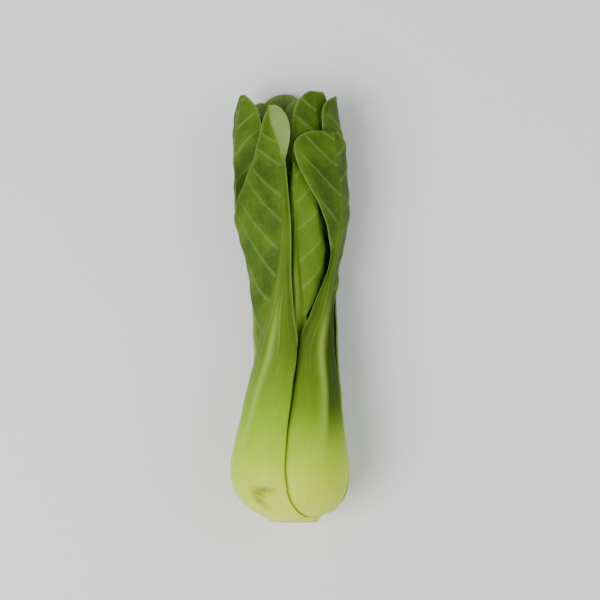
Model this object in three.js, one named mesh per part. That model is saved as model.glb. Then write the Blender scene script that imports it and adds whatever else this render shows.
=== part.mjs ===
// One head of baby bok choy, trimmed at the base and lying on its side.
// Units are millimetres and degrees. Y runs from the cut base to the leaf tips, Z is up, X is to the right.
//
// The head is built in round coordinates: a station s along its centre line, an angle theta about that line,
// with 0 straight up and 90 to the right, and a radius from it. Every leaf is a pair of radii, outer and
// inner, over a patch of s and theta. The leaves are laid from the outermost in, each kept inside the ones
// already laid, so that they clasp one another as they do on the plant and none cuts through another.
import * as THREE from 'three';

// The whole head
const GOLDEN_ANGLE = 137.5; // from one leaf to the next younger one
const FIRST_AZIMUTH = -45; // the outermost leaf faces up and to the left
const HALF_WIDTH = curve([
  [0, 11.5], [5, 18], [9.5, 22.2], [14, 24.3], [20, 25], [34, 23.2], [52, 20.4], [76, 18.2],
  [92, 18.8], [112, 22], [134, 25], [158, 24.3], [184, 20]]);
const HALF_HEIGHT = curve([
  [0, 11], [5, 16.4], [9.5, 20], [14, 21.9], [20, 22.6], [34, 21.2], [52, 18.6], [76, 17],
  [92, 17.4], [112, 18.8], [134, 19.6], [158, 18.4], [184, 13.5]]);
const CENTRE_X = curve([[0, 1.6], [14, 0.2], [24, 0], [76, 2.4], [120, 0], [184, -1.5]]);
const CENTRE_Z = curve([[0, 21.7], [24, 21.7], [76, 20], [112, 19], [134, 18.6], [184, 18]]);

// The short stem that the leaves grow from. It flares from its cut face to the stalks, so its sides fill the
// room between them at the base.
const HEART_RADIUS = 8.2; // the room that the stalks leave free for it at the cut face
const STEM_HEIGHT = 17;
const STEM_SHARE = 0.76; // its share of the bunch's radius where no stalk has started yet
const STEM_FULL = 5; // the station up to which it flares
const HEART_GAP = 0.6; // from its heart to the stalks
const STEM_GAP = 0.9; // from its flared sides to the stalks
const STEM_LEAD = 1.3; // how far below a stalk it starts to draw in
const STEM_READINGS = [-1, -0.5, 0, 0.5, 1]; // where the stalks are read round a station, as shares of that
const STEM_ROWS = 16;
const STEM_SIDES = 40;

// The thickness of a blade, the clearance between leaves and the one between a stalk and its own blade
const BLADE_THICKNESS = 0.85;
const LEAF_GAP = 0.8;
const RIB_GAP = 0.5;
const EDGE_RELIEF = 0.35; // how fast an inner leaf may rise again past an outer leaf's edge, in mm per mm
const SOFT_CONTACT = 1.5; // the radius of the round where a leaf meets the one outside it
const BASE_RISE = 2.5; // how much higher a stalk's edges start than its middle

// The faces: the outer leaves are finer than the inner ones, and a blade's columns lie on its stalk's
const FINE_LEAVES = 6;
const RIB_STEPS = [3, 2]; // from a stalk's middle line to its edge, on a fine leaf and on a coarse one
const WING_STEPS = 3; // from a stalk's edge to the margin of its blade
const FOOT_WING = 0.9; // how far the blade's foot stands out past the stalk
const RIB_EASE = 4; // the width beside the rib in which the blade rises to the leaf's outer surface

// Leaves from the outermost in.
// tip: the station where the leaf ends. reach: the blade's share of the bunch's radius. bend: how far the
// tip bends out. light: 0 for an old leaf's dark green, 1 for a young leaf's light green. turn: how far the
// middle line turns round the head, in degrees by station. left and right are the two halves of the blade:
// half: its half-width. widest: where that is, as a share of its length. foot: above 1 where it stays narrow
// below that. point: above 1 for a pointed tip, less for a blunt one. out: how far the margin stands out.
const LEAVES = [
  {
    tip: 174.5, reach: 1.02, bend: 1, light: 0,
    turn: [[1, 0], [5, -5], [11, -9], [20, -12], [56, 0], [70, 10], [128, 38], [150, 36], [174, 17]],
    left: { half: 25, widest: 0.5, foot: 0.6, point: 1.7, out: 0 },
    right: { half: 9, widest: 0.92, foot: 40, point: 0.5, out: 1 },
  },
  {
    tip: 183, reach: 1, bend: 0, light: 0.1,
    turn: [[60, 0], [183, 8]],
    left: { half: 21, widest: 0.62, foot: 1, point: 0.5, out: 1 },
    right: { half: 21, widest: 0.62, foot: 1, point: 0.5, out: 1 },
  },
  {
    tip: 163.5, reach: 1, bend: 2, light: 0,
    turn: [[20, -7], [50, -3], [70, -6], [125, 26], [163, 16]],
    left: { half: 19, widest: 0.9, foot: 4.6, point: 0.38, out: 1 },
    right: { half: 15, widest: 0.7, foot: 1.1, point: 0.7, out: 0 },
  },
  {
    tip: 180, reach: 0.94, bend: 2, light: 0,
    turn: [[40, 0], [75, 9], [120, 14], [180, 24]],
    left: { half: 13, widest: 0.66, foot: 1, point: 0.8, out: 1 },
    right: { half: 17, widest: 0.66, foot: 0.7, point: 0.8, out: 0 },
  },
  {
    tip: 180, reach: 0.94, bend: 2, light: 0.1,
    turn: [[40, 0], [120, -18], [180, -28]],
    left: { half: 19, widest: 0.72, foot: 1.1, point: 0.42, out: 1 },
    right: { half: 15, widest: 0.66, foot: 1.1, point: 0.5, out: 2 },
  },
  {
    tip: 150.5, reach: 0.9, bend: 0, light: 0.9,
    turn: [[20, 0], [120, 18], [150, 20]],
    left: { half: 5, widest: 0.5, foot: 1, point: 1, out: -3 },
    right: { half: 17, widest: 0.55, foot: 1.3, point: 1, out: 0 },
  },
  {
    tip: 179, reach: 0.8, bend: 2, light: 0.2,
    turn: [[60, 0], [179, 10]],
    left: { half: 15, widest: 0.65, foot: 1, point: 0.5, out: 2 },
    right: { half: 14, widest: 0.65, foot: 1, point: 0.5, out: 2 },
  },
  {
    tip: 181, reach: 0.76, bend: 3, light: 0.1,
    turn: [[60, 0], [120, -12], [181, -22]],
    left: { half: 14, widest: 0.7, foot: 1.1, point: 0.5, out: 1 },
    right: { half: 13, widest: 0.68, foot: 1.1, point: 0.5, out: 0 },
  },
  {
    tip: 171, reach: 0.72, bend: 1, light: 0.4,
    turn: [[60, 0], [171, 8]],
    left: { half: 11, widest: 0.66, foot: 1, point: 0.6, out: 0 },
    right: { half: 11, widest: 0.66, foot: 1, point: 0.6, out: 1 },
  },
  {
    tip: 180, reach: 0.6, bend: 1, light: 0.3,
    turn: [[60, 0], [180, -6]],
    left: { half: 13, widest: 0.64, foot: 1, point: 0.5, out: 1 },
    right: { half: 13, widest: 0.64, foot: 1, point: 0.5, out: 1 },
  },
  {
    tip: 155, reach: 0.45, bend: 1, light: 0.7,
    turn: [[60, 0], [120, -16], [155, -24]],
    left: { half: 8, widest: 0.62, foot: 1, point: 0.8, out: 1 },
    right: { half: 7, widest: 0.62, foot: 1, point: 0.8, out: 1 },
  },
];

const STALK_COLOUR = new THREE.Color(0xb9cc74);
const BLADE_COLOUR = new THREE.Color(0x4a7a26);
const YOUNG_BLADE_COLOUR = new THREE.Color(0x8fb53e);
const STEM_COLOUR = new THREE.Color(0xd9dfa6);

// A smooth curve through [position, value] pairs that never swings past its points.
function curve(points) {
  const slope = (i) => (points[i + 1][1] - points[i][1]) / (points[i + 1][0] - points[i][0]);
  const tangent = points.map((_, i) => {
    if (i === 0 || i === points.length - 1) return 0;
    const [before, after] = [slope(i - 1), slope(i)];
    return before * after > 0 ? (2 * before * after) / (before + after) : 0;
  });
  return (x) => {
    if (x <= points[0][0]) return points[0][1];
    if (x >= points.at(-1)[0]) return points.at(-1)[1];
    const i = points.findIndex((p) => p[0] > x) - 1;
    const span = points[i + 1][0] - points[i][0];
    const t = (x - points[i][0]) / span;
    const rise = points[i + 1][1] - points[i][1];
    const ease = t * t * (3 - 2 * t);
    return points[i][1] + rise * ease + span * t * (1 - t) * (tangent[i] * (1 - t) - tangent[i + 1] * t);
  };
}

const radians = THREE.MathUtils.degToRad;
const { clamp, lerp, smoothstep } = THREE.MathUtils;

// The smaller of two values, rounded where they meet, and never above either.
function softMin(a, b) {
  const h = Math.max(SOFT_CONTACT - Math.abs(a - b), 0) / SOFT_CONTACT;
  return Math.min(a, b) - (h * h * SOFT_CONTACT) / 4;
}

// The radius of the whole bunch in direction theta, as an ellipse.
function bunchRadius(theta, s) {
  return 1 / Math.hypot(Math.sin(theta) / HALF_WIDTH(s), Math.cos(theta) / HALF_HEIGHT(s));
}

// The radius at which the surface that the head lies on is met.
function floorRadius(theta, s) {
  const down = -Math.cos(theta);
  return down > 0.05 ? CENTRE_Z(s) / down : Infinity;
}

// The radius of the stem's heart, which every stalk leaves free.
function heartRadius(s) {
  return HEART_RADIUS * Math.sqrt(Math.max(0, 1 - (s / STEM_HEIGHT) ** 2));
}

function pointAt(radius, theta, s) {
  return new THREE.Vector3(CENTRE_X(s) + radius * Math.sin(theta), s, CENTRE_Z(s) + radius * Math.cos(theta));
}

// One leaf: a thick clasping stalk that runs on as a rib, and a thin blade behind it.
class Leaf {
  constructor(index, form) {
    Object.assign(this, form);
    const age = index / (LEAVES.length - 1); // 0 for the oldest leaf, 1 for the youngest
    this.index = index;
    this.azimuth = radians(FIRST_AZIMUTH - GOLDEN_ANGLE * index);
    this.start = 1.2 * index;
    this.neck = lerp(73, 76, age); // where the blade starts
    this.turned = curve(this.turn);
    this.ribEnd = lerp(this.neck, this.tip, 0.86);
    this.wave = lerp(1.1, 0.7, age);
    const clasp = lerp(21, 8, age); // the stalk's half-width at the bulb
    const thick = lerp(8, 3.4, age); // its thickness there
    const first = this.neck + 14;
    const second = this.neck + 34;
    this.stalkHalf = curve([
      [this.start, 0.74 * clasp], [this.start + 18, clasp], [50, 0.72 * clasp], [this.neck, 0.5 * clasp],
      [first, 0.28 * clasp], [second, 0.14 * clasp], [this.ribEnd, 0.05 * clasp]]);
    this.stalkThick = curve([
      [this.start, 0.52 * thick], [this.start + 18, thick], [50, 0.78 * thick], [this.neck, 0.54 * thick],
      [first, 0.38 * thick], [second, 0.26 * thick], [this.ribEnd, 0.7]]);
    this.stalkEdge = curve([[this.start, 1], [this.neck, 0.8], [second, 0.6]]);
    this.proud = curve([
      [this.start, 0], [this.start + 18, 0.05 * clasp], [this.neck, 0.11 * clasp], [second, 0.05 * clasp],
      [this.ribEnd, 0.02 * clasp]]);
  }

  // The angle of the leaf's middle line.
  middle(s) {
    return this.azimuth + radians(this.turned(s));
  }

  // The radius that turns an angle into a width along the leaf.
  rolling(s) {
    return Math.max(6, (lerp(1, this.reach, this.opened(s)) * (HALF_WIDTH(s) + HALF_HEIGHT(s))) / 2);
  }

  // 0 in the bulb, where the leaves press on each other, and 1 in the blades, where they part.
  opened(s) {
    return smoothstep(s, 36, this.neck + 22);
  }

  // 0 at the blade's foot and 1 at its tip.
  along(s) {
    return clamp((s - this.neck) / (this.tip - this.neck), 0, 1);
  }

  // The half of the blade that a signed width from the middle line lies in.
  halfAt(side) {
    return side < 0 ? this.left : this.right;
  }

  // The blade's half-width, from nothing at the neck to its widest and back to nothing at the tip.
  bladeHalf(s, side) {
    const { half, widest, foot, point } = this.halfAt(side);
    const x = this.along(s);
    return half * (x < widest
      ? Math.sin((Math.PI / 2) * (x / widest)) ** foot
      : Math.max(0, 1 - ((x - widest) / (1 - widest)) ** 2) ** point);
  }

  halfWidth(s, side) {
    const stalk = s <= this.ribEnd ? this.stalkHalf(s) : 0;
    return Math.max(stalk + FOOT_WING * smoothstep(s, this.neck - 6, this.neck), this.bladeHalf(s, side));
  }

  // The room kept for the blade behind the stalk, which opens up gently below the blade's foot.
  bladeRoom(s) {
    return (RIB_GAP + BLADE_THICKNESS) * smoothstep(s, this.neck - 22, this.neck - 8);
  }

  // The stalk's thickness at a distance from its middle line.
  stalkDepth(distance, s) {
    const across = Math.min(1, distance / this.stalkHalf(s));
    return lerp(this.stalkThick(s), this.stalkEdge(s), across * across);
  }

  // How deep the whole leaf is under its outer surface.
  depth(distance, s) {
    return this.stalkDepth(distance, s) + this.bladeRoom(s);
  }

  // The outer radius that the leaf would take with nothing outside it, at a signed width from its middle.
  freeRadius(theta, s, side) {
    const width = this.halfWidth(s, side);
    const across = Math.min(1, Math.abs(side) / Math.max(width, 1));
    const rib = Math.max(0, 1 - (side / this.stalkHalf(s)) ** 2);
    const inBlade = smoothstep(s, this.neck, this.neck + 35);
    const ripple = this.wave * Math.sin(s / 6.2 + this.index * 2.1 + (side < 0 ? 0 : 1.9));
    return lerp(1, this.reach, this.opened(s)) * bunchRadius(theta, s)
      + this.proud(s) * rib
      + inBlade * across * across * (this.halfAt(side).out + ripple)
      + this.bend * this.along(s) ** 4;
  }
}

const leaves = LEAVES.map((form, index) => new Leaf(index, form));

// A signed angle from one direction to another, the short way round.
function turn(from, to) {
  return Math.atan2(Math.sin(to - from), Math.cos(to - from));
}

// The outer radius of a leaf at a station and an angle, kept inside every leaf that is older than it.
function outerRadius(leaf, theta, s) {
  let limit = Infinity;
  for (const elder of leaves) {
    const along = Math.min(s, elder.tip);
    const side = turn(elder.middle(along), theta) * elder.rolling(along);
    const own = elder === leaf;
    const width = elder.halfWidth(along, side);
    const inside = own ? side : clamp(side, -width, width);
    const free = elder.freeRadius(theta, along, inside);
    const outer = Math.min(floorRadius(theta, s), softMin(free, limit));
    if (own) return outer;
    const slant = (elder.halfWidth(along - 0.5, side) - elder.halfWidth(along + 0.5, side)) / 2;
    const past = (Math.abs(side) - width) / Math.hypot(1, slant);
    const beyond = s > elder.tip ? Math.hypot(side, s - elder.tip) : Math.max(0, past);
    const inner = outer - elder.depth(Math.abs(inside), along);
    limit = Math.min(limit, inner - LEAF_GAP + EDGE_RELIEF * beyond);
  }
  return limit;
}

// The inner radius of a leaf's stalk at a station and an angle, with the signed width that the angle means.
function stalkInnerRadius(leaf, theta, s, side) {
  const inner = outerRadius(leaf, theta, s) - leaf.stalkDepth(Math.abs(side), s);
  return Math.max(inner, heartRadius(s) + HEART_GAP);
}

// How much higher than its middle a stalk starts, at a share of the way to its edge.
function startRise(leaf, across, row) {
  return BASE_RISE * across * across * Math.exp((leaf.start - row) / BASE_RISE);
}

// The stem's radius: a share of the bunch, kept inside the stalks that have started, and closed at the top.
function stemRadius(theta, s) {
  const closed = Math.sqrt(Math.max(0, 1 - (Math.max(0, s - STEM_FULL) / (STEM_HEIGHT - STEM_FULL)) ** 2));
  let radius = STEM_SHARE * bunchRadius(theta, Math.min(s, STEM_FULL)) * closed;
  for (const leaf of leaves) {
    for (const share of STEM_READINGS) {
      const at = s + share * STEM_LEAD;
      const side = turn(leaf.middle(at), theta) * leaf.rolling(at);
      const across = Math.min(1, Math.abs(side) / leaf.stalkHalf(at));
      const outside = Math.abs(side) > leaf.stalkHalf(at) + STEM_GAP;
      if (outside || at < leaf.start + startRise(leaf, across, leaf.start)) continue;
      const room = stalkInnerRadius(leaf, theta, at, side) - STEM_GAP;
      radius = Math.min(radius, Math.max(room, heartRadius(s)));
    }
  }
  return radius;
}

// A closed solid between an outer and an inner grid of points, with walls round its edge.
function solidBetween(outer, inner) {
  const rows = outer.length;
  const columns = outer[0].length;
  const positions = [...outer.flat(), ...inner.flat()].flatMap((p) => [p.x, p.y, p.z]);
  const top = (i, j) => i * columns + j;
  const bottom = (i, j) => rows * columns + i * columns + j;
  const faces = [];
  const quad = (a, b, c, d) => faces.push(a, b, c, a, c, d);
  for (let i = 0; i < rows - 1; i++) {
    for (let j = 0; j < columns - 1; j++) {
      quad(top(i, j), top(i, j + 1), top(i + 1, j + 1), top(i + 1, j));
      quad(bottom(i + 1, j + 1), bottom(i, j + 1), bottom(i, j), bottom(i + 1, j));
    }
    quad(top(i, 0), top(i + 1, 0), bottom(i + 1, 0), bottom(i, 0));
    quad(top(i, columns - 1), bottom(i, columns - 1), bottom(i + 1, columns - 1), top(i + 1, columns - 1));
  }
  for (let j = 0; j < columns - 1; j++) {
    quad(top(0, j), bottom(0, j), bottom(0, j + 1), top(0, j + 1));
    quad(top(rows - 1, j), top(rows - 1, j + 1), bottom(rows - 1, j + 1), bottom(rows - 1, j));
  }
  const geometry = new THREE.BufferGeometry();
  geometry.setAttribute('position', new THREE.Float32BufferAttribute(positions, 3));
  geometry.setIndex(faces);
  geometry.computeVertexNormals();
  return geometry;
}

// The stations of a leaf's rows: those of the stalk alone, of the rib on the blade, and of the blade's tip.
function rowsOf(leaf) {
  const fine = leaf.index < FINE_LEAVES;
  const steps = (from, to, count, easing = (t) => t) =>
    Array.from({ length: count }, (_, i) => lerp(from, to, easing(i / count)));
  return {
    stalk: steps(leaf.start, leaf.neck - 2, fine ? 9 : 7, (t) => lerp(t, t * t, 0.4)),
    rib: steps(leaf.neck - 2, leaf.ribEnd, fine ? 8 : 6),
    tip: [...steps(leaf.ribEnd, leaf.tip - 0.5, fine ? 4 : 3, (t) => t * (2 - t)), leaf.tip - 0.5],
  };
}

function stalkGeometry(leaf) {
  const rows = rowsOf(leaf);
  const columns = 2 * RIB_STEPS[leaf.index < FINE_LEAVES ? 0 : 1];
  const grid = (inward) => [...rows.stalk, ...rows.rib, leaf.ribEnd].map((row) =>
    Array.from({ length: columns + 1 }, (_, j) => {
      const v = (2 * j) / columns - 1;
      const s = row + startRise(leaf, v, row);
      const side = v * leaf.stalkHalf(s);
      const theta = leaf.middle(s) + side / leaf.rolling(s);
      const outer = outerRadius(leaf, theta, s);
      const inner = stalkInnerRadius(leaf, theta, s, side);
      return pointAt(inward ? Math.min(inner, outer - 0.65) : outer, theta, s);
    }));
  return solidBetween(grid(false), grid(true));
}

function bladeGeometry(leaf) {
  const rows = rowsOf(leaf);
  const ribSteps = RIB_STEPS[leaf.index < FINE_LEAVES ? 0 : 1];
  const half = ribSteps + WING_STEPS;
  const grid = (inward) => [...rows.rib, ...rows.tip].map((s) =>
    Array.from({ length: 2 * half + 1 }, (_, j) => {
      const hand = Math.sign(j - half);
      const step = Math.abs(j - half);
      const blade = leaf.bladeHalf(s, hand);
      const rib = Math.min(leaf.stalkHalf(s), s > leaf.ribEnd ? 0.5 * blade : Infinity);
      const width = Math.max(blade, rib + FOOT_WING);
      const wing = (step - ribSteps) / WING_STEPS;
      const distance = wing <= 0 ? (rib * step) / ribSteps : lerp(rib, width, wing);
      const theta = leaf.middle(s) + (hand * distance) / leaf.rolling(s);
      const sunk = (leaf.stalkDepth(distance, s) + RIB_GAP) * (1 - smoothstep(distance - rib, 0, RIB_EASE));
      const outer = outerRadius(leaf, theta, s) - sunk;
      return pointAt(inward ? outer - BLADE_THICKNESS : outer, theta, s);
    }));
  return solidBetween(grid(false), grid(true));
}

// The stem: a lathe's rings about the head's centre line, each drawn out to the stem's radius.
function stemGeometry() {
  const profile = [new THREE.Vector2(0, 0)];
  for (let i = 0; i <= STEM_ROWS; i++) {
    const s = STEM_HEIGHT * (i / STEM_ROWS) ** 1.3;
    profile.push(new THREE.Vector2(i === STEM_ROWS ? 0 : 1, s));
  }
  const geometry = new THREE.LatheGeometry(profile, STEM_SIDES);
  const points = geometry.getAttribute('position');
  for (let i = 0; i < points.count; i++) {
    const [x, s, z] = [points.getX(i), points.getY(i), points.getZ(i)];
    const theta = Math.atan2(x, z);
    const point = pointAt(Math.hypot(x, z) * stemRadius(theta, s), theta, s);
    points.setXYZ(i, point.x, point.y, point.z);
  }
  geometry.computeVertexNormals();
  return geometry;
}

function mesh(name, geometry, colour) {
  const material = new THREE.MeshStandardMaterial({ color: colour, roughness: 0.5, metalness: 0 });
  const made = new THREE.Mesh(geometry, material);
  made.name = name;
  return made;
}

const head = new THREE.Group();
head.add(mesh('stem', stemGeometry(), STEM_COLOUR));
for (const leaf of leaves) {
  const number = String(leaf.index + 1).padStart(2, '0');
  const green = BLADE_COLOUR.clone().lerp(YOUNG_BLADE_COLOUR, leaf.light);
  head.add(mesh(`leaf_${number}_stalk`, stalkGeometry(leaf), STALK_COLOUR));
  head.add(mesh(`leaf_${number}_blade`, bladeGeometry(leaf), green));
}

// The part's origin is under the middle of the head, on the surface that it lies on.
const box = new THREE.Box3().setFromObject(head);
const middle = box.getCenter(new THREE.Vector3());
head.position.set(-middle.x, -middle.y, -box.min.z);
const part = new THREE.Group();
part.add(head);

export default part;
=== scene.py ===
"""The looks of one head of baby bok choy that lies on its side.

The head is worked out in millimetres, in the same round coordinates as its solids: a station s along the
centre line, an angle theta about that line, with 0 straight up and 90 to the right, and a radius from it. Its
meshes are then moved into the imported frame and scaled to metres. Each leaf is two pieces, its pale stalk with
the rib that it runs on as, and its green blade. Both take their colours from one leaf finish, so that one
passes into the other.
"""

import logging
import math
from dataclasses import dataclass
from enum import Enum
from typing import Union

import bpy
import numpy as np
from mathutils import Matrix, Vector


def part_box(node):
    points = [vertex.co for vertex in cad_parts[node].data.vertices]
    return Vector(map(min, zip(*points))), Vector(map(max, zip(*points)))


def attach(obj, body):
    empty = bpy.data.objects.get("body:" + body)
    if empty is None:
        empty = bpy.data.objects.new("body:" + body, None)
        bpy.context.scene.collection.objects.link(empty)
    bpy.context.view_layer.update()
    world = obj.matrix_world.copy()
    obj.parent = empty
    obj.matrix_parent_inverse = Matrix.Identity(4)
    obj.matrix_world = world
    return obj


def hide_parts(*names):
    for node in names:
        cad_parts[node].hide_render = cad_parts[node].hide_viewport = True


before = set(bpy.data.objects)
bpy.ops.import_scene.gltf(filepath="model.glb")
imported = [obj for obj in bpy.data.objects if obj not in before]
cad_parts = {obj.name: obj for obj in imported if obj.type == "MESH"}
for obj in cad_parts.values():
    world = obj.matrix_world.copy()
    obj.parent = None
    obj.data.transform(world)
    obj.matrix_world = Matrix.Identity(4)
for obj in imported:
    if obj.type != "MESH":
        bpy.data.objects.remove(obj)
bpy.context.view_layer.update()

Array = np.ndarray
Number = Union[float, Array]
Colour = tuple[float, float, float]
Pair = tuple[float, float]
Marks = dict[str, Union[Number, tuple[Number, Number]]]

log = logging.getLogger("bok_choy")


def smoothstep(x: Number, low: float, high: float) -> Number:
    """Rise smoothly from 0 to 1.

    Args:
        x: The values to ease.
        low: Where the rise starts.
        high: Where the rise ends.

    Returns:
        The eased values.
    """
    t = np.clip((x - low) / (high - low), 0, 1)
    return t * t * (3 - 2 * t)


def mix(a: Number, b: Number, t: Number) -> Number:
    """The value that lies a share t of the way from a to b."""
    return a + (b - a) * t


class Profile:
    """A smooth curve through points that never swings past them."""

    def __init__(self, *points: Pair) -> None:
        """Set the curve's points.

        Args:
            points: The (position, value) pairs, in order of position.
        """
        self.x = np.array([p[0] for p in points], float)
        self.y = np.array([p[1] for p in points], float)
        slope = np.diff(self.y) / np.diff(self.x)
        before, after = slope[:-1], slope[1:]
        same = before * after > 0
        self.tangent = np.zeros(len(points))
        total = np.where(same, before + after, 1)
        self.tangent[1:-1] = np.where(same, 2 * before * after / total, 0)

    def __call__(self, at: Number) -> Number:
        """Read the curve.

        Args:
            at: The positions.

        Returns:
            The values there.
        """
        x = np.clip(at, self.x[0], self.x[-1])
        i = np.clip(np.searchsorted(self.x, x, side="right") - 1, 0, len(self.x) - 2)
        span = self.x[i + 1] - self.x[i]
        t = (x - self.x[i]) / span
        ease = t * t * (3 - 2 * t)
        swing = self.tangent[i] * (1 - t) - self.tangent[i + 1] * t
        return self.y[i] + (self.y[i + 1] - self.y[i]) * ease + span * t * (1 - t) * swing


@dataclass(frozen=True)
class HeadForm:
    """The form of the whole head, in millimetres and degrees, which its leaves share.

    A pair of values is for the outermost leaf and for the inmost one.
    """

    golden_angle: float = 137.5
    first_azimuth: float = -45.0
    start_step: float = 1.2
    clasp: Pair = (21, 8)
    stalk_thickness: Pair = (8, 3.4)
    neck: Pair = (73, 76)
    rib_share: float = 0.86
    margin_wave: Pair = (1.1, 0.7)
    wave_length: float = 6.2
    heart_radius: float = 8.2
    heart_gap: float = 0.6
    stem_height: float = 17.0
    blade_thickness: float = 0.85
    leaf_gap: float = 0.8
    rib_gap: float = 0.5
    edge_relief: float = 0.35
    soft_contact: float = 1.5
    base_rise: float = 2.5
    foot_wing: float = 0.9
    nearly_level: float = 0.05
    half_width: Profile = Profile(
        (0, 11.5), (5, 18), (9.5, 22.2), (14, 24.3), (20, 25), (34, 23.2), (52, 20.4), (76, 18.2),
        (92, 18.8), (112, 22), (134, 25), (158, 24.3), (184, 20),
    )
    half_height: Profile = Profile(
        (0, 11), (5, 16.4), (9.5, 20), (14, 21.9), (20, 22.6), (34, 21.2), (52, 18.6), (76, 17),
        (92, 17.4), (112, 18.8), (134, 19.6), (158, 18.4), (184, 13.5),
    )
    centre_x: Profile = Profile((0, 1.6), (14, 0.2), (24, 0), (76, 2.4), (120, 0), (184, -1.5))
    centre_z: Profile = Profile((0, 21.7), (24, 21.7), (76, 20), (112, 19), (134, 18.6), (184, 18))

    def bunch_radius(self, theta: Array, s: Array) -> Array:
        """The radius of the whole bunch in a direction, as an ellipse."""
        return 1 / np.hypot(np.sin(theta) / self.half_width(s), np.cos(theta) / self.half_height(s))

    def floor_radius(self, theta: Array, s: Array) -> Array:
        """The radius at which the surface that the head lies on is met."""
        down = -np.cos(theta)
        reached = self.centre_z(s) / np.maximum(down, self.nearly_level)
        return np.where(down > self.nearly_level, reached, np.inf)

    def heart_radius_at(self, s: Array) -> Array:
        """The radius of the stem's heart, which every stalk leaves free."""
        return self.heart_radius * np.sqrt(np.maximum(0, 1 - (s / self.stem_height) ** 2))

    def soft_min(self, a: Array, b: Array) -> Array:
        """The smaller of two values, rounded where they meet, and never above either."""
        with np.errstate(invalid="ignore"):
            apart = np.nan_to_num(np.abs(a - b), nan=np.inf, posinf=np.inf)
        h = np.maximum(self.soft_contact - apart, 0) / self.soft_contact
        return np.minimum(a, b) - h * h * self.soft_contact / 4


@dataclass(frozen=True)
class BladeHalf:
    """One half of a blade, from its rib to its margin.

    It reaches its half-width at the share of its length called widest. Foot and point are the powers that
    make its two ends slender or blunt, and out is how far its margin stands out of the bunch.
    """

    half: float
    widest: float
    foot: float
    point: float
    out: float


@dataclass(frozen=True)
class LeafForm:
    """One leaf's form.

    Tip is its last station, reach its share of the bunch's radius, bend how far its tip leans out and light
    how young its colour is. Turn is its middle line's turn round the head, as pairs of a station and degrees.
    """

    tip: float
    reach: float
    bend: float
    light: float
    turn: tuple[Pair, ...]
    left: BladeHalf
    right: BladeHalf


LEAVES: tuple[LeafForm, ...] = (
    LeafForm(
        174.5, 1.02, 1, 0,
        ((1, 0), (5, -5), (11, -9), (20, -12), (56, 0), (70, 10), (128, 38), (150, 36), (174, 17)),
        BladeHalf(25, 0.5, 0.6, 1.7, 0), BladeHalf(9, 0.92, 40, 0.5, 1),
    ),
    LeafForm(
        183, 1, 0, 0.1, ((60, 0), (183, 8)),
        BladeHalf(21, 0.62, 1, 0.5, 1), BladeHalf(21, 0.62, 1, 0.5, 1),
    ),
    LeafForm(
        163.5, 1, 2, 0, ((20, -7), (50, -3), (70, -6), (125, 26), (163, 16)),
        BladeHalf(19, 0.9, 4.6, 0.38, 1), BladeHalf(15, 0.7, 1.1, 0.7, 0),
    ),
    LeafForm(
        180, 0.94, 2, 0, ((40, 0), (75, 9), (120, 14), (180, 24)),
        BladeHalf(13, 0.66, 1, 0.8, 1), BladeHalf(17, 0.66, 0.7, 0.8, 0),
    ),
    LeafForm(
        180, 0.94, 2, 0.1, ((40, 0), (120, -18), (180, -28)),
        BladeHalf(19, 0.72, 1.1, 0.42, 1), BladeHalf(15, 0.66, 1.1, 0.5, 2),
    ),
    LeafForm(
        150.5, 0.9, 0, 0.9, ((20, 0), (120, 18), (150, 20)),
        BladeHalf(5, 0.5, 1, 1, -3), BladeHalf(17, 0.55, 1.3, 1, 0),
    ),
    LeafForm(
        179, 0.8, 2, 0.2, ((60, 0), (179, 10)),
        BladeHalf(15, 0.65, 1, 0.5, 2), BladeHalf(14, 0.65, 1, 0.5, 2),
    ),
    LeafForm(
        181, 0.76, 3, 0.1, ((60, 0), (120, -12), (181, -22)),
        BladeHalf(14, 0.7, 1.1, 0.5, 1), BladeHalf(13, 0.68, 1.1, 0.5, 0),
    ),
    LeafForm(
        171, 0.72, 1, 0.4, ((60, 0), (171, 8)),
        BladeHalf(11, 0.66, 1, 0.6, 0), BladeHalf(11, 0.66, 1, 0.6, 1),
    ),
    LeafForm(
        180, 0.6, 1, 0.3, ((60, 0), (180, -6)),
        BladeHalf(13, 0.64, 1, 0.5, 1), BladeHalf(13, 0.64, 1, 0.5, 1),
    ),
    LeafForm(
        155, 0.45, 1, 0.7, ((60, 0), (120, -16), (155, -24)),
        BladeHalf(8, 0.62, 1, 0.8, 1), BladeHalf(7, 0.62, 1, 0.8, 1),
    ),
)


FINE_LEAVES = 6


class Detail(Enum):
    """How finely a leaf is meshed: rows and columns of its stalk, and rows and columns of its blade."""

    FRONT = ((150, 44), (170, 72))
    BACK = ((90, 28), (110, 48))


class Front(Enum):
    """The places in the spiral of the leaves that have marks of their own in front."""

    LEFT = 0
    RIGHT = 2
    FAR_LEFT = 3


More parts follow.
